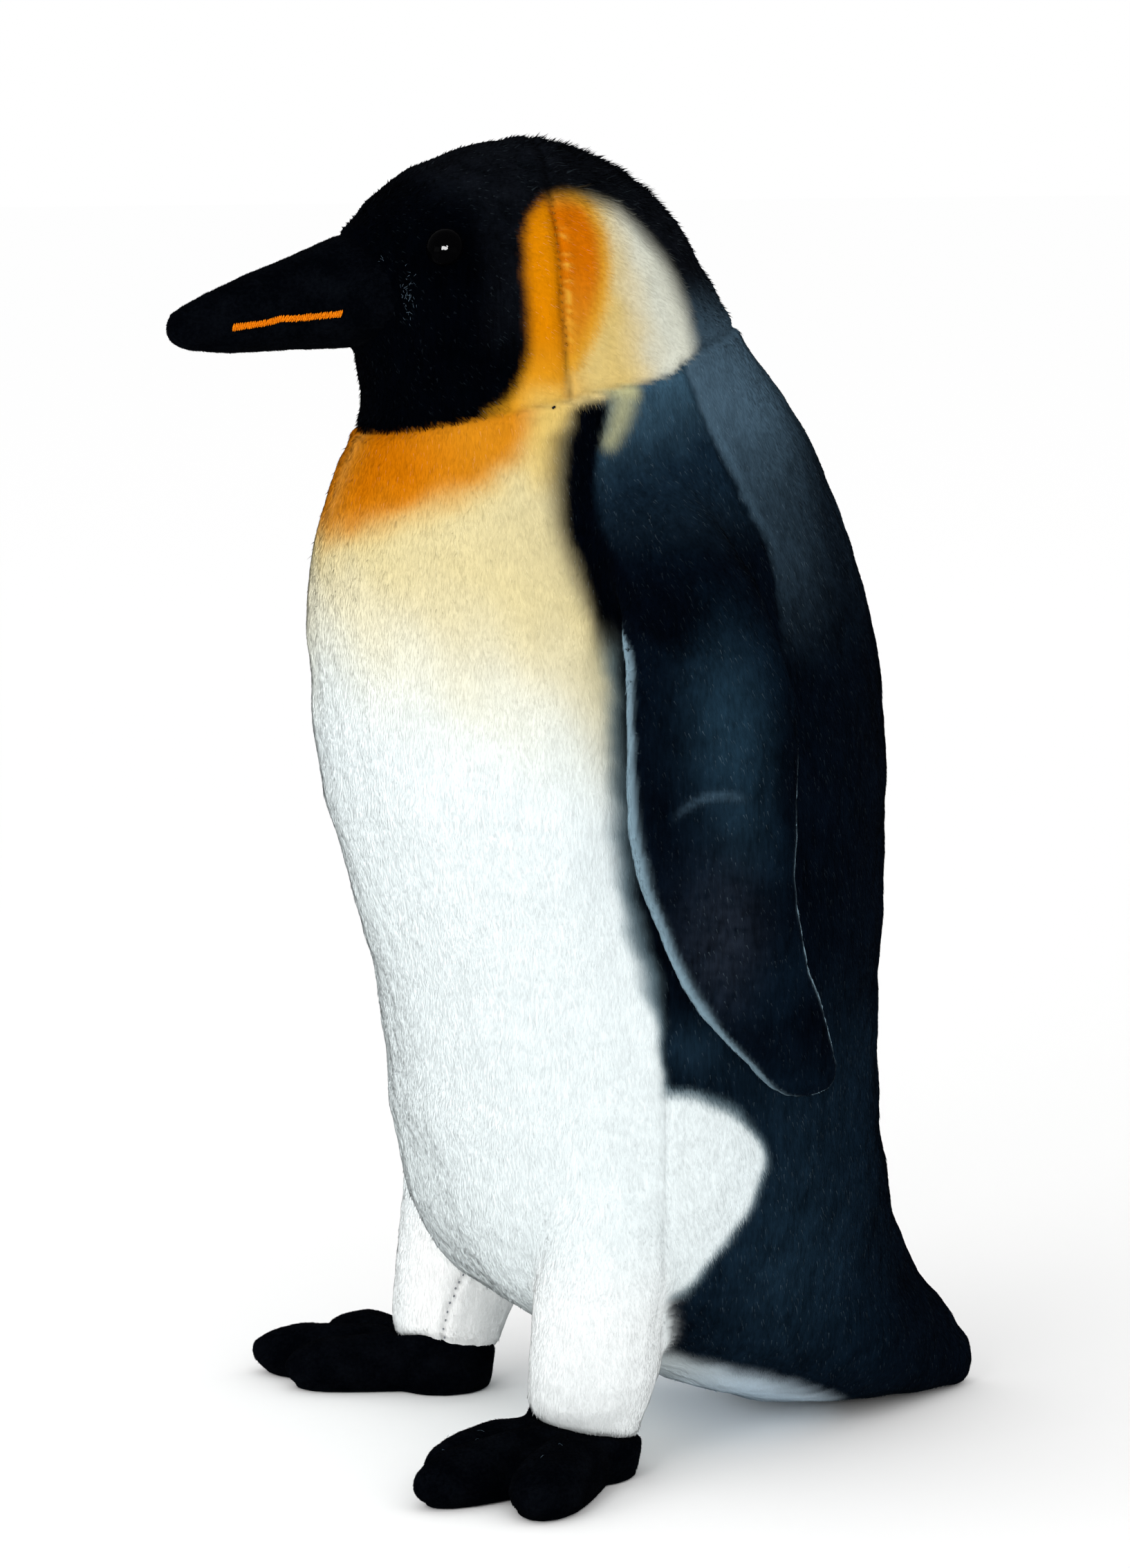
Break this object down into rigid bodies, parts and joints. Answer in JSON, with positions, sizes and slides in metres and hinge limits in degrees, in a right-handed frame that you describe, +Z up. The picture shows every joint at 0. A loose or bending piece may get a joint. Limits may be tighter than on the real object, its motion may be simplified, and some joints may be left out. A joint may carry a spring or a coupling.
{
  "type": "plush king penguin toy",
  "caption": "Standing stuffed plush king penguin toy with velvet bill and feet, airbrushed markings and flippers held at its sides.",
  "frame": {"origin": "on the floor, in the middle of the toy's box", "axes": "+Z up, -Y the way the toy faces, +X towards the toy's own left side"},
  "size_m": [0.2238, 0.2694, 0.4],
  "materials": {
    "plush_white": "white short-pile plush, airbrushed cream, orange and slate",
    "plush_black": "black short-pile plush",
    "plush_navy": "slate to navy-black short-pile plush",
    "velvet_black": "black velvet with a very short nap",
    "eye_plastic": "glossy black domed safety eye"
  },
  "bodies": {
    "root": {"head": "plush_black", "bill": "velvet_black", "eye_left": "eye_plastic", "eye_right": "eye_plastic", "trunk": "plush_white", "tail": "plush_navy", "flipper_left": "plush_navy", "flipper_right": "plush_navy", "leg_left": "plush_white", "leg_right": "plush_white", "foot_left": "velvet_black", "foot_right": "velvet_black"}
  },
  "joints": []
}
